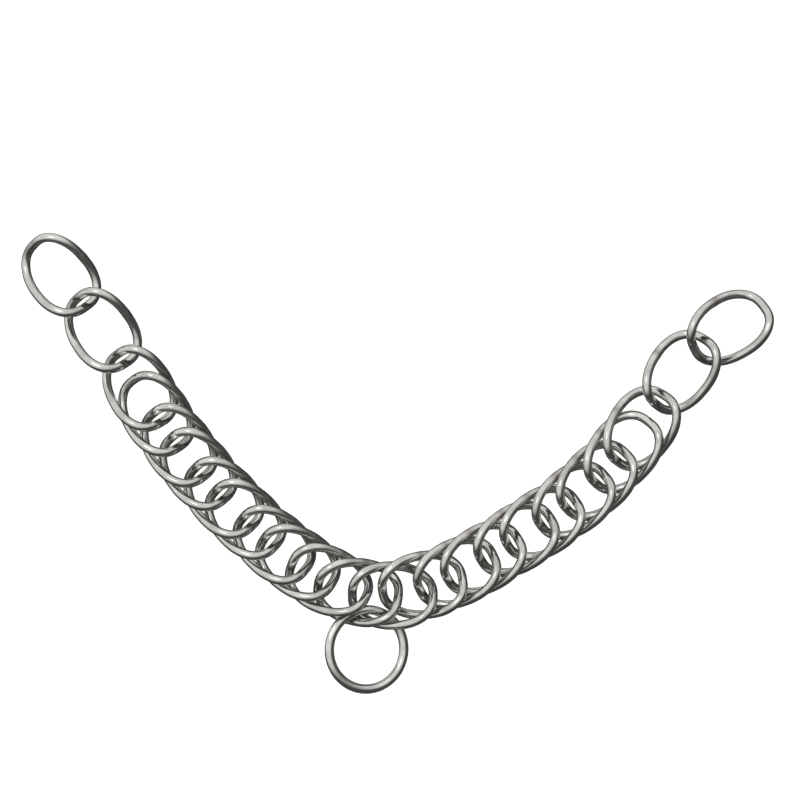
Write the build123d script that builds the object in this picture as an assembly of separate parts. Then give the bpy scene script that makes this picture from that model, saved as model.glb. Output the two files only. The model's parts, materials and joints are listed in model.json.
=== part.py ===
from build123d import *
from math import asin, copysign, cos, degrees, pi, radians, sin, sqrt, tan
import os

# Curb chain of a double bridle: 24 twisted links of round steel wire, closed by welding, and a plain
# round fly ring at the middle for the lip strap. The first two and last two links run singly. The 20
# links between are doubled: each passes through the next link and through the one after it.
#
# Frame: the chain lies flat on a surface, seen from +Z. +X is the long way of the laid-out chain,
# and the origin is on the surface, under the middle of the model's box.

# Driving sizes, millimetres and degrees
LINK_WIRE = 2.3          # wire diameter of a link
LINK_LENGTH = 22.6       # outside length, along the chain
LINK_WIDTH = 17.3        # outside width, across the chain, of the arcs' corners
FULLNESS = 2.8           # power of a link's outline: 2 is an ellipse, more has flatter sides
RING_WIRE = 2.4          # wire diameter of the fly ring
RING_OUTER = 22.2        # outside diameter of the fly ring
HOOK_GAP = 0.7           # play between two wires that hook one inside the other
STRAND_LIFT = 2.0        # rise of a link's side at its end, in wire diameters, so that strands clear
SLIP = 0.5               # doubled links sit in pairs: each is this far from its even place
BEND_SLIP = 0.2          # the same where the chain bends tightly

# Link numbers, counted from the left end
FIRST_DOUBLED = 3
LAST_DOUBLED = 22
LINKS = 24
RING_LINK = 12           # the fly ring hangs on this link and the next
TIGHT_BEND = range(11, 15)

# How the chain lies: a run of gaps between links, the turn of each gap, and how close each gap is
# as a share of a taut one. A doubled gap is half a single one.
START = (-84.6, 47.8)
START_HEADING = -50.0
SINGLE = 1.0
DOUBLED = 0.5
LAY = [
    (1, SINGLE, -5.0, 1.0),
    (1, SINGLE, -4.0, 0.97),
    (6, DOUBLED, 3.2, 1.0),
    (2, DOUBLED, 6.3, 0.975),
    (3, DOUBLED, 15.5, 0.95),
    (2, DOUBLED, 5.6, 0.975),
    (2, DOUBLED, 1.1, 1.0),
    (4, DOUBLED, 5.7, 1.0),
    (1, SINGLE, -1.4, 0.97),
    (1, SINGLE, -23.0, 0.955),
]

# Links beside the fly ring that its wire pushes out of line: across the chain as a share of half a
# link's width, up and the rise of the link's left side as shares of the mean thickness of the two
# wires, then pitch and yaw
SEAT = {
    11: (-0.009, 0.31, -0.49, -3.6, 3.7),
    12: (-0.044, 0.02, 0.067, 0.1, 2.7),
    13: (-0.081, 0.19, -0.328, -0.8, -4.8),
    14: (0.053, 0.0, 0.1, 0.8, -11.6),
}

# The fly ring lies on the surface with its left side raised over the chain's edge
RING_ALONG = 1.17        # its centre from the middle of its two links, back along the chain
RING_RISE = 3.349        # its left side over its right, in wires of the links that it lies over
RING_LEAN = -2.7         # far side down
RING_REACH = 4.0         # how far from its middle the side wires inside it pass under its wire
RING_OVERLAP = 0.244     # how far the two wires overlap there, seen from above

# The line that the fly ring swings about, from the middle of its two links
SWING_ACROSS = 4.26      # towards the ring
SWING_ALONG = 1.01       # on along the chain
SWING_DOWN = 1.22        # below the chain's middle plane
SWING_TURN = 10.1        # from the chain's heading
SWING_DIP = 26.7         # downward, to match the tilt of the ring

CORNERS_PER_HALF = 9     # arcs in half a link; odd, so that one is at the middle of the side


def wire_half_sizes():
    """Half length and half width of a link, to the middle of its wire."""
    return (LINK_LENGTH - LINK_WIRE) / 2, (LINK_WIDTH - LINK_WIRE) / 2


def taut_pitch():
    """Distance between two links that hook directly, pulled out to their play."""
    return LINK_LENGTH - 2 * LINK_WIRE - HOOK_GAP


def twist():
    """Angle that each end of a link is turned from its middle."""
    half_width = wire_half_sizes()[1]
    return degrees(asin(min(0.95, STRAND_LIFT * LINK_WIRE / half_width)))


def fuller(share):
    """A cosine or sine, bent so that the oval it draws has fuller corners than an ellipse."""
    return copysign(abs(share) ** (2 / FULLNESS), share)


def twisted_point(around, outward=1.0):
    """A point of an oval that is twisted about its long axis; around is an angle in radians."""
    half_length, half_width = wire_half_sizes()
    turn = -radians(twist()) * fuller(cos(around))
    side = outward * half_width * fuller(sin(around))
    return Vector(outward * half_length * fuller(cos(around)), side * cos(turn), side * sin(turn))


def bend_radius(before, corner, after):
    """Largest radius at a corner that leaves both its straight runs just under half used."""
    run = min((before - corner).length, (after - corner).length)
    turn = 180 - (before - corner).get_angle(after - corner)
    return 0.499 * run / tan(radians(turn / 2))


def half_line():
    """Middle line of one side of a link: arcs that join smoothly from end to end."""
    step = pi / CORNERS_PER_HALF
    outward = 1 / fuller(cos(step / 2))
    corners = [twisted_point((k + 0.5) * step, outward) for k in range(-1, CORNERS_PER_HALF + 1)]
    first = (corners[0] + corners[1]) / 2
    last = (corners[-2] + corners[-1]) / 2
    points = [first] + corners[1:-1] + [last]
    radii = [bend_radius(*corners[k - 1:k + 2]) for k in range(1, len(corners) - 1)]
    return FilletPolyline(*points, radius=radii)


def half_link():
    """One side of a link: round wire along its middle line."""
    path = half_line()
    section = Plane(origin=path @ 0, z_dir=path % 0) * Circle(LINK_WIRE / 2)
    return sweep(section, path=path)


def link():
    """A whole link about its own centre, with its length along X; its two sides are alike."""
    side = half_link()
    return side + side.rotate(Axis.X, 180)


def fly_ring():
    """A flat round ring about its own centre."""
    return Torus((RING_OUTER - RING_WIRE) / 2, RING_WIRE / 2)


def along(heading, distance):
    """A step over the surface in a heading."""
    return Vector(distance * cos(radians(heading)), distance * sin(radians(heading)), 0)


def even_places():
    """Each link's centre and heading, evenly spaced along the lay of the chain."""
    centre = Vector(*START, 0)
    heading = START_HEADING
    places = [(centre, heading)]
    for count, share, turn, closeness in LAY:
        for _ in range(count):
            centre = centre + along(heading + turn / 2, taut_pitch() * share * closeness)
            heading = heading + turn
            places.append((centre, heading))
    return places


def link_slip(number):
    """How far a doubled link sits from its even place: forward if odd, back if even."""
    if not FIRST_DOUBLED <= number <= LAST_DOUBLED:
        return 0.0
    slip = BEND_SLIP if number in TIGHT_BEND else SLIP
    return slip if number % 2 else -slip


def thickness():
    """Mean thickness of a link's wire and the fly ring's."""
    return (LINK_WIRE + RING_WIRE) / 2


def link_place(number, places):
    """Where a link lies, with the chain's middle plane at Z 0."""
    centre, heading = places[number - 1]
    across, lift, rise, pitch, yaw = SEAT.get(number, (0.0,) * 5)
    half_width = wire_half_sizes()[1]
    spot = centre + along(heading, link_slip(number)) + along(heading + 90, across * half_width)
    spot = spot + Vector(0, 0, lift * thickness())
    roll = degrees(asin(rise * thickness() / half_width))
    return Pos(spot) * Rot(0, 0, heading + yaw) * Rot(0, pitch, 0) * Rot(roll, 0, 0)


def ring_middle(places):
    """Middle of the two links that carry the fly ring, and the heading there."""
    (one, heading_one), (two, heading_two) = places[RING_LINK - 1], places[RING_LINK]
    return (one + two) / 2, (heading_one + heading_two) / 2


def ring_place(places, rest_height):
    """Where the fly ring lies: inside its links' lower side wires, one side on the surface."""
    middle, heading = ring_middle(places)
    radius = (RING_OUTER - RING_WIRE) / 2
    hook = thickness() - RING_OVERLAP
    drop = wire_half_sizes()[1] - hook + sqrt(radius**2 - RING_REACH**2)
    spot = middle + along(heading, -RING_ALONG) + along(heading + 90, -drop)
    tilt = asin(RING_RISE * LINK_WIRE / RING_OUTER)
    rise = radius * sin(tilt) + RING_WIRE / 2
    spot = Vector(spot.X, spot.Y, rise - rest_height)
    return Pos(spot) * Rot(RING_LEAN, degrees(tilt), 0)


def joint_lines(places):
    """Hinge point and axis, across the chain, between each link and the next."""
    lines = []
    for (one, heading_one), (two, heading_two) in zip(places, places[1:]):
        lines.append(((one + two) / 2, along((heading_one + heading_two) / 2 + 90, 1)))
    return lines


def ring_joint_line(places):
    """Hinge point and axis of the fly ring, by the side wires that it hooks round."""
    middle, heading = ring_middle(places)
    point = middle + along(heading - 90, SWING_ACROSS) + along(heading, SWING_ALONG)
    level = along(heading + SWING_TURN, cos(radians(SWING_DIP)))
    return point - Vector(0, 0, SWING_DOWN), level - Vector(0, 0, sin(radians(SWING_DIP)))


def chain():
    """All nodes in place, by name, and the move that puts the origin on the surface."""
    shape = link()
    places = even_places()
    rest_height = -shape.bounding_box().min.Z
    nodes = {}
    for number in range(1, LINKS + 1):
        nodes[f"link_{number:02d}"] = link_place(number, places) * shape
    nodes["fly_ring"] = ring_place(places, rest_height) * fly_ring()
    box = Compound([solid for node in nodes.values() for solid in node.solids()]).bounding_box()
    centre = box.center()
    return nodes, Pos(-centre.X, -centre.Y, -box.min.Z)


os.makedirs("parts", exist_ok=True)
nodes, to_origin = chain()
for name, solid in nodes.items():
    placed = to_origin * solid
    placed.label = name
    export_step(placed, f"parts/{name}.step")
    print(name, "volume", round(placed.volume, 2), "lowest", round(placed.bounding_box().min.Z, 3))

places = even_places()
for number, (point, axis) in enumerate(joint_lines(places) + [ring_joint_line(places)], 1):
    spot = to_origin.position + point
    print("hinge", number, "at", [round(v, 2) for v in spot], "along", [round(v, 3) for v in axis])
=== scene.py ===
# %% [markdown]
# # A curb chain laid out on a table
# The piece is the steel chain that runs under a horse's chin in a double bridle. It has 24 links of
# round wire, each bent to an oval, twisted, and welded shut, and one plain round ring at the middle
# that carries the lip strap. The CAD model already says where each link lies and how it hooks its
# neighbours. What is left for Blender is the wire itself: smooth, closely meshed, with its welds, its
# rubbed places and its polish.

# %% Load the CAD model as a fixed frame
import bpy
import json
import math
import numpy as np
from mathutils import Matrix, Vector, kdtree

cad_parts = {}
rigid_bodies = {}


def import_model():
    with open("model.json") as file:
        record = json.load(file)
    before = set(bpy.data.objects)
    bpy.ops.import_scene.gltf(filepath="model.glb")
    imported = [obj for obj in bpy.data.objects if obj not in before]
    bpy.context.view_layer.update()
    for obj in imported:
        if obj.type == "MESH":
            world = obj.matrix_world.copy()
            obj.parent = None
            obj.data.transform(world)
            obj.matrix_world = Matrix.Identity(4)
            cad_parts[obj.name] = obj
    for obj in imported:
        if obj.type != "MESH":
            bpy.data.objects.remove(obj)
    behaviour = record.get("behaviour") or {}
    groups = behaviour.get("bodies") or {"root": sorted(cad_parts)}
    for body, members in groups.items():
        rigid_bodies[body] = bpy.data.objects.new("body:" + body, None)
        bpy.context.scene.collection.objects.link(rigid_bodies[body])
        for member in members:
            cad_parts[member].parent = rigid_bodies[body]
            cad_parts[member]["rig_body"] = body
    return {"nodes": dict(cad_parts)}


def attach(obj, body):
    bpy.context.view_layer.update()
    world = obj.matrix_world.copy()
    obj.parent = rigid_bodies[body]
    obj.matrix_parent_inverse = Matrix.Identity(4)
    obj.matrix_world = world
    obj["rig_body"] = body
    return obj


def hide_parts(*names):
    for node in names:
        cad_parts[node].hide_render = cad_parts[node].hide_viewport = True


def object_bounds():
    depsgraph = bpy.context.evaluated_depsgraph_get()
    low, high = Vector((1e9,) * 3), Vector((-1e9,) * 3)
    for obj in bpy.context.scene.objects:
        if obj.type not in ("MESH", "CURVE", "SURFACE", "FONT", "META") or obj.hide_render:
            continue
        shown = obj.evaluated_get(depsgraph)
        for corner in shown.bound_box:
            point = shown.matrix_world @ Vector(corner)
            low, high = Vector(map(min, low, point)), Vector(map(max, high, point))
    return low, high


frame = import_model()
cad_low, cad_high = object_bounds()
MM = 0.001
print("size in mm:", [round(side / MM, 1) for side in cad_high - cad_low])

# %% [markdown]
# ## Colours
# Colours are picked on a screen as sRGB hex values, but a shader works in linear light. One function
# makes the change, so that no colour is entered twice in two forms.


# %% Hex colour to linear light
def linear(hex_colour):
    """An sRGB hex value as the linear RGBA that shaders take."""
    parts = [int(hex_colour[k:k + 2], 16) / 255 for k in (1, 3, 5)]
    bent = [p / 12.92 if p <= 0.04045 else ((p + 0.055) / 1.055) ** 2.4 for p in parts]
    return (*bent, 1.0)


print("mid grey #808080 is", round(linear("#808080")[0], 3), "in linear light")

# %% [markdown]
# ## Nodes
# A material is a small network, and writing it out node by node is long. One helper adds a node with
# its settings, the plain values of its sockets and its links, so each line below reads as one step.


# %% A helper that adds a node
def node(tree, kind, settings=None, values=None, links=None):
    """Adds a node. values are put on its sockets, and links join a socket to another's output."""
    made = tree.nodes.new("ShaderNode" + kind)
    for name, value in (settings or {}).items():
        setattr(made, name, value)
    for socket, value in (values or {}).items():
        made.inputs[socket].default_value = value
    for socket, source in (links or {}).items():
        tree.links.new(source, made.inputs[socket])
    return made


print("a node is added by one call:", node.__name__)


# %% [markdown]
# ## Camera
# The chain is seen from straight above, as things are laid out for a catalogue. A long lens far away
# keeps the wire the same width over the whole frame. The camera's distance follows from the width
# that the frame has to take in, and the chain sits a little below the middle.

# %% Camera straight above the chain
FRAME_WIDTH = 200.6 * MM
SENSOR_MM = 36.0
LENS_MM = 110.0
RIGHT_OF_MIDDLE = 1.0 * MM
ABOVE_MIDDLE = 15.9 * MM
CHAIN_MIDDLE_HEIGHT = 4.3 * MM

middle = (cad_low + cad_high) / 2
camera = bpy.data.objects.new("camera", bpy.data.cameras.new("camera"))
bpy.context.scene.collection.objects.link(camera)
camera.data.sensor_width = SENSOR_MM
camera.data.lens = LENS_MM
camera.location = (
    middle.x + RIGHT_OF_MIDDLE,
    middle.y + ABOVE_MIDDLE,
    CHAIN_MIDDLE_HEIGHT + FRAME_WIDTH * LENS_MM / SENSOR_MM,
)
camera.data.clip_start = 0.01
camera.data.clip_end = 20.0
bpy.context.scene.camera = camera
print("camera height in mm:", round(camera.location.z / MM))

# %% [markdown]
# ## Light
# Polished wire shows little of its own colour. It shows what stands round it, bent round a small
# cylinder. So the light is made as a room, not as lamps: a bright sky above and behind, falling off to
# a dim one in front and below. Each wire then gets a pale back and a dark front edge, which is what
# lets the eye tell one strand from the next. A softbox adds a tighter highlight along each wire.

# %% A room that is bright behind and above, and dim in front
BRIGHT_SIDE = Vector((-0.42, 0.62, 0.66)).normalized()
DIM_FROM, BRIGHT_FROM = -0.08, 0.64
DIMMEST, BRIGHTEST = 0.08, 0.95

scene = bpy.context.scene
scene.world = bpy.data.worlds.new("studio_room")
scene.world.use_nodes = True
room = scene.world.node_tree
room.nodes.clear()
direction = node(room, "TexCoord")
facing = node(
    room, "VectorMath", {"operation": "DOT_PRODUCT"},
    {1: BRIGHT_SIDE}, {0: direction.outputs["Generated"]},
)
level = node(
    room, "MapRange", {"interpolation_type": "SMOOTHSTEP"},
    {"From Min": DIM_FROM, "From Max": BRIGHT_FROM, "To Min": DIMMEST, "To Max": BRIGHTEST},
    {"Value": facing.outputs["Value"]},
)
glow = node(
    room, "Background", None, {"Color": linear("#FFFEFB")}, {"Strength": level.outputs["Result"]},
)
node(room, "OutputWorld", None, None, {"Surface": glow.outputs["Background"]})
scene.view_settings.view_transform = "Standard"
print("room made, brightest towards", [round(x, 2) for x in BRIGHT_SIDE])

# %% A softbox over the left shoulder
SOFTBOX_SIDE = 0.30
SOFTBOX_SPOT = Vector((-0.30, 0.32, 0.75))
SOFTBOX_WATTS = 0.5

softbox = bpy.data.objects.new("softbox", bpy.data.lights.new("softbox", "AREA"))
scene.collection.objects.link(softbox)
softbox.data.shape = "SQUARE"
softbox.data.size = SOFTBOX_SIDE
softbox.data.energy = SOFTBOX_WATTS
softbox.location = SOFTBOX_SPOT
softbox.rotation_euler = SOFTBOX_SPOT.to_track_quat("Z", "Y").to_euler()
print("softbox", SOFTBOX_SIDE, "m wide,", round(SOFTBOX_SPOT.length, 2), "m away")

# %% [markdown]
# ## Table
# The chain lies on frosted glass, with a lit white ground some way below. It is the usual way to get an
# even, near white picture with only a breath of shadow, and a link that swings down past the glass is
# still seen. The glass is a thin white film that lets most light through, mixed by one share. Both
# sheets are kept out of the metal's reflections, as a pale sheet that lies close under the wire would
# wash out its dark edges.

# %% Frosted glass over a lit white ground
GROUND_SIDE = 12.0
GROUND_DEPTH = 120 * MM
GLASS_SIDE = 3.0
GROUND_GLOW = 0.52
MATT_ROUGHNESS = 0.7
MATT_SPECULAR = 0.2
FROST = 0.10


def stage_sheet(name, side, height):
    """A level square of the stage, kept out of reflections, with a matt white material of its own."""
    bpy.ops.mesh.primitive_plane_add(size=side, location=(middle.x, middle.y, height))
    sheet = bpy.context.object
    sheet.name = name
    sheet.visible_glossy = False
    material = bpy.data.materials.new(name)
    material.use_nodes = True
    white = material.node_tree.nodes["Principled BSDF"]
    white.inputs["Base Color"].default_value = linear("#F0F0EE")
    white.inputs["Roughness"].default_value = MATT_ROUGHNESS
    white.inputs["Specular IOR Level"].default_value = MATT_SPECULAR
    white.inputs["Emission Color"].default_value = linear("#FFFFFF")
    white.inputs["Emission Strength"].default_value = GROUND_GLOW
    sheet.data.materials.append(material)
    return material.node_tree, white


stage_sheet("white_acrylic_ground", GROUND_SIDE, -GROUND_DEPTH)
glass, frosted = stage_sheet("frosted_glass", GLASS_SIDE, 0)
clear = node(glass, "BsdfTransparent")
film = node(
    glass, "MixShader", None, {0: FROST}, {1: clear.outputs["BSDF"], 2: frosted.outputs["BSDF"]},
)
glass.links.new(film.outputs["Shader"], glass.nodes["Material Output"].inputs["Surface"])
print("glass at 0 mm, ground at", round(-GROUND_DEPTH / MM), "mm")

# %% [markdown]
# ## Where each link lies
# A CAD node's place is in its vertices. The link is much longer than it is wide, and wider than it is
# high, so the spread of its surface along three directions gives its own axes. The same works for the
# ring, except that a circle has no long way, so its first axis is the world's X laid into its plane.


# %% Middle and own axes of a CAD node
def own_frame(name, is_round=False):
    """Middle of a CAD node and its axes as columns: long way, across, and through, which points up."""
    mesh = frame["nodes"][name].data
    mesh.calc_loop_triangles()
    corners = np.zeros(len(mesh.loop_triangles) * 3, int)
    mesh.loop_triangles.foreach_get("vertices", corners)
    spots = np.zeros(len(mesh.vertices) * 3)
    mesh.vertices.foreach_get("co", spots)
    triangles = spots.reshape(-1, 3)[corners.reshape(-1, 3)]
    sides = triangles[:, 1:] - triangles[:, :1]
    areas = np.linalg.norm(np.cross(sides[:, 0], sides[:, 1]), axis=1)[:, None]
    centres = triangles.mean(axis=1)
    centre = (areas * centres).sum(axis=0) / areas.sum()
    spread = (areas * (centres - centre)).T @ (centres - centre)
    directions = np.linalg.eigh(spread)[1]
    through = directions[:, 0] * np.sign(directions[2, 0])
    long_way = np.array([1.0, 0.0, 0.0]) if is_round else directions[:, 2]
    long_way = long_way * np.sign(long_way[0])
    long_way = long_way - through * (long_way @ through)
    long_way = long_way / np.linalg.norm(long_way)
    axes = np.column_stack([long_way, np.cross(through, long_way), through])
    inside = (spots.reshape(-1, 3) - centre) @ axes
    return centre, axes, inside.max(axis=0) - inside.min(axis=0)


link_names = sorted(name for name in frame["nodes"] if name.startswith("link"))
places = {name: own_frame(name) for name in link_names}
ring_frame = own_frame("fly_ring", is_round=True)
print("a link in mm:", [round(s / MM, 2) for s in places[link_names[0]][2]])
print("the ring in mm:", [round(s / MM, 2) for s in ring_frame[2]])

# %% [markdown]
# ## Wire
# A link is one round wire bent into a closed loop. A curve with a bevel would make it too, but then the
# mesh carries no record of where along the wire a point is, and the finish needs that. So the section
# is carried round the loop in code. Each section starts from the one before, turned as little as the
# bend asks for, and the small angle left over at the end is shared out over the whole loop.

# %% Carry a round section along a closed line
SIDES = 24


def carried_sections(line):
    """Unit tangents and two directions across the wire at each point of a closed line."""
    ahead = np.roll(line, -1, axis=0) - np.roll(line, 1, axis=0)
    ahead = ahead / np.linalg.norm(ahead, axis=1)[:, None]
    start = np.cross(ahead[0], [0.0, 0.0, 1.0])
    across = [start / np.linalg.norm(start)]
    for tangent in [*ahead[1:], ahead[0]]:
        carried = across[-1] - tangent * (across[-1] @ tangent)
        across.append(carried / np.linalg.norm(carried))
    last = across.pop()
    missed = math.atan2(np.cross(last, across[0]) @ ahead[0], last @ across[0])
    share = missed * np.arange(len(line))[:, None] / len(line)
    across = np.array(across)
    other = np.cross(ahead, across)
    return across * np.cos(share) + other * np.sin(share), other * np.cos(share) - across * np.sin(share)


def wire_mesh(name, line, radii):
    """A closed loop of round wire. Its map named wire is along and around the wire, in millimetres."""
    first, second = carried_sections(line)
    turns = 2 * math.pi * np.arange(SIDES) / SIDES
    circle = first[:, None] * np.cos(turns)[:, None] + second[:, None] * np.sin(turns)[:, None]
    spots = (line[:, None] + circle * radii[:, None, None]).reshape(-1, 3)
    count = len(line)
    station, side = [grid.ravel() for grid in np.mgrid[0:count, 0:SIDES]]
    after, beside = (station + 1) % count, (side + 1) % SIDES
    faces = np.column_stack([
        station * SIDES + side, station * SIDES + beside, after * SIDES + beside, after * SIDES + side,
    ])
    mesh = bpy.data.meshes.new(name)
    mesh.from_pydata(spots, [], faces.tolist())
    step = np.linalg.norm(np.roll(line, -1, axis=0) - line, axis=1).mean() / MM
    round_step = 2 * math.pi * radii.mean() / SIDES / MM
    along = np.column_stack([station, station, station + 1, station + 1]) * step
    around = np.column_stack([side, side + 1, side + 1, side]) * round_step
    wire_map = mesh.uv_layers.new(name="wire")
    wire_map.data.foreach_set("uv", np.stack([along, around], axis=-1).ravel())
    mesh.shade_smooth()
    return mesh


print("the wire's section has", SIDES, "sides")


# %% [markdown]
# ## Link
# Before it is twisted a link is a full oval, with flatter sides than an ellipse. The maker grips both
# ends and twists them opposite ways, so that the next links' strands can lie side by side through it.
# The line below is that oval, turned about its long axis by an angle that runs from one way at one end
# to the other way at the other end, and then walked along in equal steps so that all faces are alike.
# The two ends of the wire are butted and welded half way along one side. The weld leaves the wire a
# few hundredths of a millimetre thicker for about the length of its own diameter.

# %% The line of a link and its weld
WIRE = 2.3 * MM
HALF_WIDTH = 7.5 * MM
STRAND_LIFT = 2.0 * WIRE
TWIST = math.asin(STRAND_LIFT / HALF_WIDTH)
FULLNESS = 2.8
STATIONS = 168
FINE_STATIONS = 12 * STATIONS
WELD_LENGTH = 1.0 * MM
WELD_RISE = 0.055 * MM
chance = np.random.default_rng(24)


def fuller(share):
    """A cosine or sine, bent so that the oval it draws has fuller corners than an ellipse."""
    return np.sign(share) * np.abs(share) ** (2 / FULLNESS)


def even_steps(line, count):
    """The same closed line with its points at equal steps."""
    closed = np.vstack([line, line[:1]])
    distance = np.concatenate([[0], np.cumsum(np.linalg.norm(np.diff(closed, axis=0), axis=1))])
    wanted = distance[-1] * np.arange(count) / count
    return np.column_stack([np.interp(wanted, distance, closed[:, k]) for k in range(3)])


def link_line(size):
    """The middle of the wire in the link's own axes, from the weld round to the weld again."""
    around = math.pi / 2 + np.linspace(0, 2 * math.pi, FINE_STATIONS, endpoint=False)
    half_length, half_width = (size[:2] - WIRE) / 2
    turn = -TWIST * fuller(np.cos(around))
    side = half_width * fuller(np.sin(around))
    ahead = half_length * fuller(np.cos(around))
    return even_steps(np.column_stack([ahead, side * np.cos(turn), side * np.sin(turn)]), STATIONS)


def weld_shape(line):
    """How much of the weld there is at each station: 1 at its middle, and 0 away from it."""
    steps = np.linalg.norm(np.roll(line, -1, axis=0) - line, axis=1)
    distance = np.concatenate([[0], np.cumsum(steps)[:-1]])
    distance = np.minimum(distance, steps.sum() - distance)
    return np.exp(-(distance / WELD_LENGTH) ** 2)


print("twist of each end:", round(math.degrees(TWIST)), "degrees")

# %% [markdown]
# ## Where the finish differs
# A used chain is not one even colour. The insides of the ends rub on the next link and stay bright.
# The weld is left a shade duller, as it is only tumbled and never drawn. Where strands lie close together
# the wire is darkened, partly as polishing compound and sweat that stay there and partly as painted
# shade, the shade that the near strands would cast. Each of these is stored on the mesh as a number from
# 0 to 1, so the material can read it by name. The last one comes from real distances between the strands.

# %% Numbers on the mesh that the finish reads
# Strands closer than this are darkened: painted shade, with some grime.
SHADE_AND_GRIME_WITHIN = 1.1 * MM
RUB_FROM, RUB_OVER, RUB_TO = 0.70, 0.20, 0.98
RUB_NARROWING = 1.6


def store(mesh, name, values):
    """A number from 0 to 1 on each vertex, which a material reads by name."""
    attribute = mesh.attributes.new(name, "FLOAT", "POINT")
    attribute.data.foreach_set("value", np.clip(values, 0, 1).astype(np.float32))


# The closeness below darkens the wire between strands as painted shade, with some grime.
def closeness_for_shade_and_grime(spots, other_lines):
    """How close each vertex is to the strands of other pieces: 1 is touching, and 0 is clear."""
    tree = kdtree.KDTree(len(other_lines))
    for index, spot in enumerate(other_lines):
        tree.insert(spot, index)
    tree.balance()
    room_left = np.array([tree.find(spot)[2] for spot in spots]) - WIRE / 2
    return 1 - room_left / SHADE_AND_GRIME_WITHIN


def end_rub(own_spots, half_length):
    """1 on the inside of each end of a link, where the next link bears on it."""
    outward = np.abs(own_spots[:, 0]) / half_length
    sideways = 1 - np.abs(own_spots[:, 1]) / half_length * RUB_NARROWING
    grown = np.clip((outward - RUB_FROM) / RUB_OVER, 0, 1)
    return grown * np.clip(sideways, 0, 1) * (outward < RUB_TO)


print("grime starts where strands are within", round(SHADE_AND_GRIME_WITHIN / MM, 2), "mm")


# %% [markdown]
# ## Stainless steel wire
# The links are drawn stainless steel wire, AISI 304 or like it, welded, then tumbled with steel media
# until they shine. Drawing leaves faint lines along the wire, and tumbling lays a soft mottle over
# them, so the eye sees a clear but slightly broken highlight. Stainless is a metal with a slightly warm
# mid grey reflection. The mottle is really about 0.1 mm across. That is too fine to show, so it is
# drawn about 0.7 mm across.

# %% Patterns on the wire
CLOUD_MM = 5.0
MOTTLE_MM = 0.75
LINE_LENGTH_MM = 7.0
LINE_WIDTH_MM = 0.45


def patterns(tree):
    """Soft clouds and mottle in the metal, and drawing lines along the wire, as values near 0.5."""
    place = node(tree, "TexCoord").outputs["Object"]
    wire = node(tree, "UVMap", {"uv_map": "wire"}).outputs["UV"]
    clouds = node(
        tree, "TexNoise", None, {"Scale": 1 / (CLOUD_MM * MM), "Detail": 3.0}, {"Vector": place},
    ).outputs["Fac"]
    mottle = node(
        tree, "TexNoise", None, {"Scale": 1 / (MOTTLE_MM * MM), "Detail": 2.0}, {"Vector": place},
    ).outputs["Fac"]
    stretched = node(
        tree, "Mapping", None, {"Scale": (1 / LINE_LENGTH_MM, 1 / LINE_WIDTH_MM, 1.0)}, {"Vector": wire},
    ).outputs["Vector"]
    lines = node(
        tree, "TexNoise", None, {"Scale": 1.0, "Detail": 2.0}, {"Vector": stretched},
    ).outputs["Fac"]
    return clouds, mottle, lines


print("mottle", MOTTLE_MM, "mm across, drawing lines", LINE_WIDTH_MM, "mm apart")

# %% [markdown]
# Roughness says how polished a place is. The clouds carry it between its smoothest and its roughest.
# A rubbed place is smoother than that, and a weld or a grimy place is rougher.

# %% How polished the steel is
RUB_SMOOTHS = -0.09
WELD_ROUGHENS = 0.16
GRIME_ROUGHENS = 0.22


def polish(tree, clouds, marks, smooth, rough):
    """Roughness over the wire, from its clouds and the three numbers stored on the mesh."""
    rub, weld, painted_shade_and_grime_mark = marks
    level = node(
        tree, "MapRange", None,
        {"From Min": 0.35, "From Max": 0.68, "To Min": smooth, "To Max": rough}, {"Value": clouds},
    ).outputs["Result"]
    for mark, change, last in (
        (rub, RUB_SMOOTHS, False), (weld, WELD_ROUGHENS, False), (painted_shade_and_grime_mark, GRIME_ROUGHENS, True),
    ):
        level = node(
            tree, "Math", {"operation": "MULTIPLY_ADD", "use_clamp": last}, {1: change},
            {0: mark, 2: level},
        ).outputs["Value"]
    return level


print("a weld adds", WELD_ROUGHENS, "to the roughness")

# %% [markdown]
# The colour is built in the same order: a bright and a dull tone of the metal, then the heat-dulled
# weld, then a dark tone where strands lie close, partly grime and partly painted shade, which the
# mottle breaks up so that it looks like a film and not like paint.

# %% The colour of the steel


def tint(tree, clouds, mottle, marks, colours):
    """Reflected colour over the wire. colours are its bright tone, dull tone, grime with painted shade,
    and weld tone.
    """
    weld, painted_shade_and_grime_mark = marks[1:]
    bright, dull, grime_and_painted_shade, heat = [linear(colour) for colour in colours]
    tone = node(
        tree, "MapRange", None, {"From Min": 0.35, "From Max": 0.65}, {"Value": clouds},
    ).outputs["Result"]
    body = node(tree, "Mix", {"data_type": "RGBA"}, {6: bright, 7: dull}, {0: tone}).outputs[2]
    at_weld = node(tree, "Mix", {"data_type": "RGBA"}, {7: heat}, {0: weld, 6: body}).outputs[2]
    # Painted shade, with some grime: the dark tone laid where strands lie close, broken up by the mottle.
    patchy_shade_and_grime = node(
        tree, "Math", {"operation": "MULTIPLY"}, None, {0: painted_shade_and_grime_mark, 1: mottle},
    ).outputs["Value"]
    return node(tree, "Mix", {"data_type": "RGBA"}, {7: grime_and_painted_shade}, {0: patchy_shade_and_grime, 6: at_weld}).outputs[2]


print("the colour has a bright, a dull, a grime and a weld tone")

# %% The steel of the links and the ring
LINE_SHARE = 0.5


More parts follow.
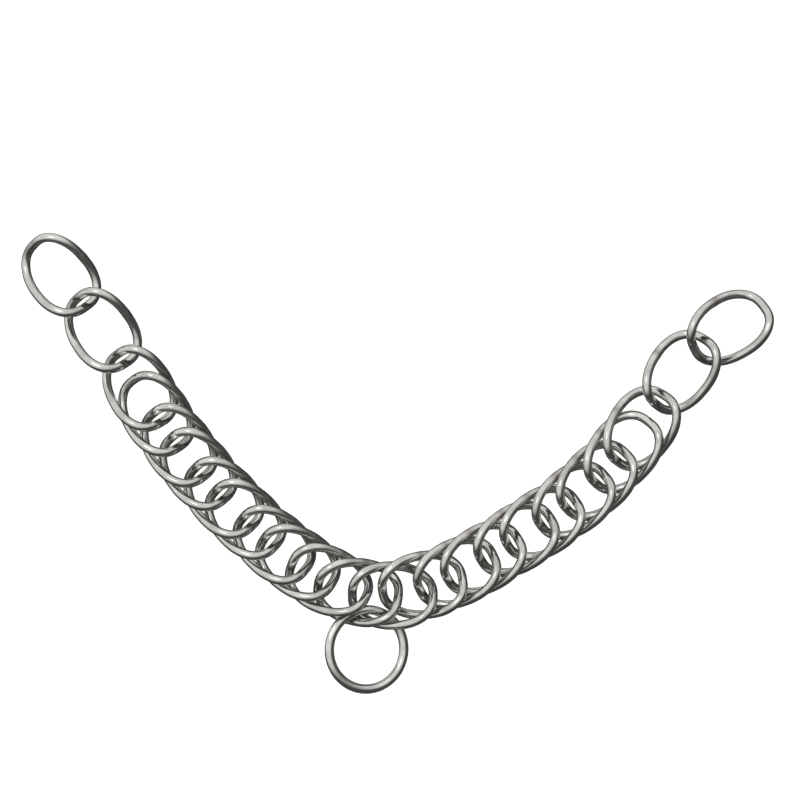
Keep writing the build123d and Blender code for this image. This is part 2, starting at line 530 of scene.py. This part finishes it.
def steel(name, colours, smooth, rough, mottle_height):
    """Drawn and tumbled steel wire, with rubbed ends, a duller weld, and grime with painted shade between
    strands.
    """
    material = bpy.data.materials.new(name)
    material.use_nodes = True
    tree = material.node_tree
    shader = tree.nodes["Principled BSDF"]
    shader.inputs["Metallic"].default_value = 1.0
    clouds, mottle, lines = patterns(tree)
    marks = [
        node(tree, "Attribute", {"attribute_name": layer}).outputs["Fac"]
        for layer in ("rub", "weld", "painted_shade_and_grime_mark")
    ]
    tree.links.new(polish(tree, clouds, marks, smooth, rough), shader.inputs["Roughness"])
    tree.links.new(tint(tree, clouds, mottle, marks, colours), shader.inputs["Base Color"])
    relief = node(
        tree, "Math", {"operation": "MULTIPLY_ADD"}, {1: LINE_SHARE}, {0: lines, 2: mottle},
    ).outputs["Value"]
    bump = node(
        tree, "Bump", None, {"Strength": 1.0, "Distance": mottle_height}, {"Height": relief},
    ).outputs["Normal"]
    tree.links.new(bump, shader.inputs["Normal"])
    return material


# The third colour is the dark tone between strands: painted shade, with some grime.
link_steel = steel(
    "tumbled_stainless_wire", ("#DCDCDA", "#BEBDBB", "#4C4A46", "#A9A6A0"), 0.11, 0.24, 0.014 * MM,
)
print("link steel has", len(link_steel.node_tree.nodes), "nodes")

# %% [markdown]
# The ring is plain and easy to hold, so it can be buffed on its own before it is closed on the chain. It
# takes the same metal, with a closer polish and less mottle, so its highlight is longer and cleaner.

# %% Buffed steel of the ring
# The third colour is the dark tone between strands: painted shade, with some grime.
ring_steel = steel(
    "buffed_stainless_ring", ("#DFDFDD", "#C6C5C3", "#5A5853", "#B0ADA7"), 0.08, 0.18, 0.008 * MM,
)
print("ring steel has", len(ring_steel.node_tree.nodes), "nodes")

# %% [markdown]
# ## The pieces
# The ring's line is a plain circle. All lines are made first, because each piece's painted shade and
# grime depend on where its neighbours' strands are. Each finished wire then stands for its CAD node and
# rides on that node's body, so it moves exactly as the CAD link does.

# %% Lines of all the wires, in the frame of the model
RING_WIRE = 2.4 * MM
RING_WELD_AT = math.radians(115)


def ring_line(size):
    """The middle of the ring's wire in its own axes, from its weld round to its weld again."""
    around = RING_WELD_AT + 2 * math.pi * np.arange(STATIONS) / STATIONS
    radius = (size[0] - RING_WIRE) / 2
    return radius * np.column_stack([np.cos(around), np.sin(around), np.zeros(STATIONS)])


own_lines = {name: link_line(places[name][2]) for name in link_names}
own_lines["fly_ring"] = ring_line(ring_frame[2])
places["fly_ring"] = ring_frame
lines = {name: line @ places[name][1].T + places[name][0] for name, line in own_lines.items()}
print("wire in one link, mm:", round(np.linalg.norm(np.diff(lines["link_01"], axis=0), axis=1).sum() / MM))


# %% Wires with their weld, rub, and grime with painted shade
WELD_SPREAD = (0.6, 1.2)
NEAR_ENOUGH = 30 * MM


def add_piece(name, cad_node, wire, material):
    """One closed wire in place of its CAD node."""
    weld = weld_shape(own_lines[cad_node])
    rise = WELD_RISE * chance.uniform(*WELD_SPREAD)
    radii = wire / 2 + rise * weld
    mesh = wire_mesh(name, lines[cad_node], radii)
    centre, axes, size = places[cad_node]
    spots = np.array([vertex.co for vertex in mesh.vertices])
    neighbours = [line for other, line in lines.items() if other != cad_node]
    near = [line for line in neighbours if np.linalg.norm(line.mean(axis=0) - centre) < NEAR_ENOUGH]
    store(mesh, "weld", np.repeat(weld, SIDES))
    # Painted shade, with some grime, where the strands of other pieces lie close.
    store(mesh, "painted_shade_and_grime_mark", closeness_for_shade_and_grime(spots, np.concatenate(near)))
    store(mesh, "rub", end_rub((spots - centre) @ axes, size[0] / 2))
    piece = bpy.data.objects.new(name, mesh)
    bpy.context.scene.collection.objects.link(piece)
    mesh.materials.append(material)
    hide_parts(cad_node)
    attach(piece, frame["nodes"][cad_node]["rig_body"])
    return piece


for name in link_names:
    add_piece("chain_" + name, name, WIRE, link_steel)
add_piece("lip_strap_ring", "fly_ring", RING_WIRE, ring_steel)
print("pieces made:", len(link_names) + 1)
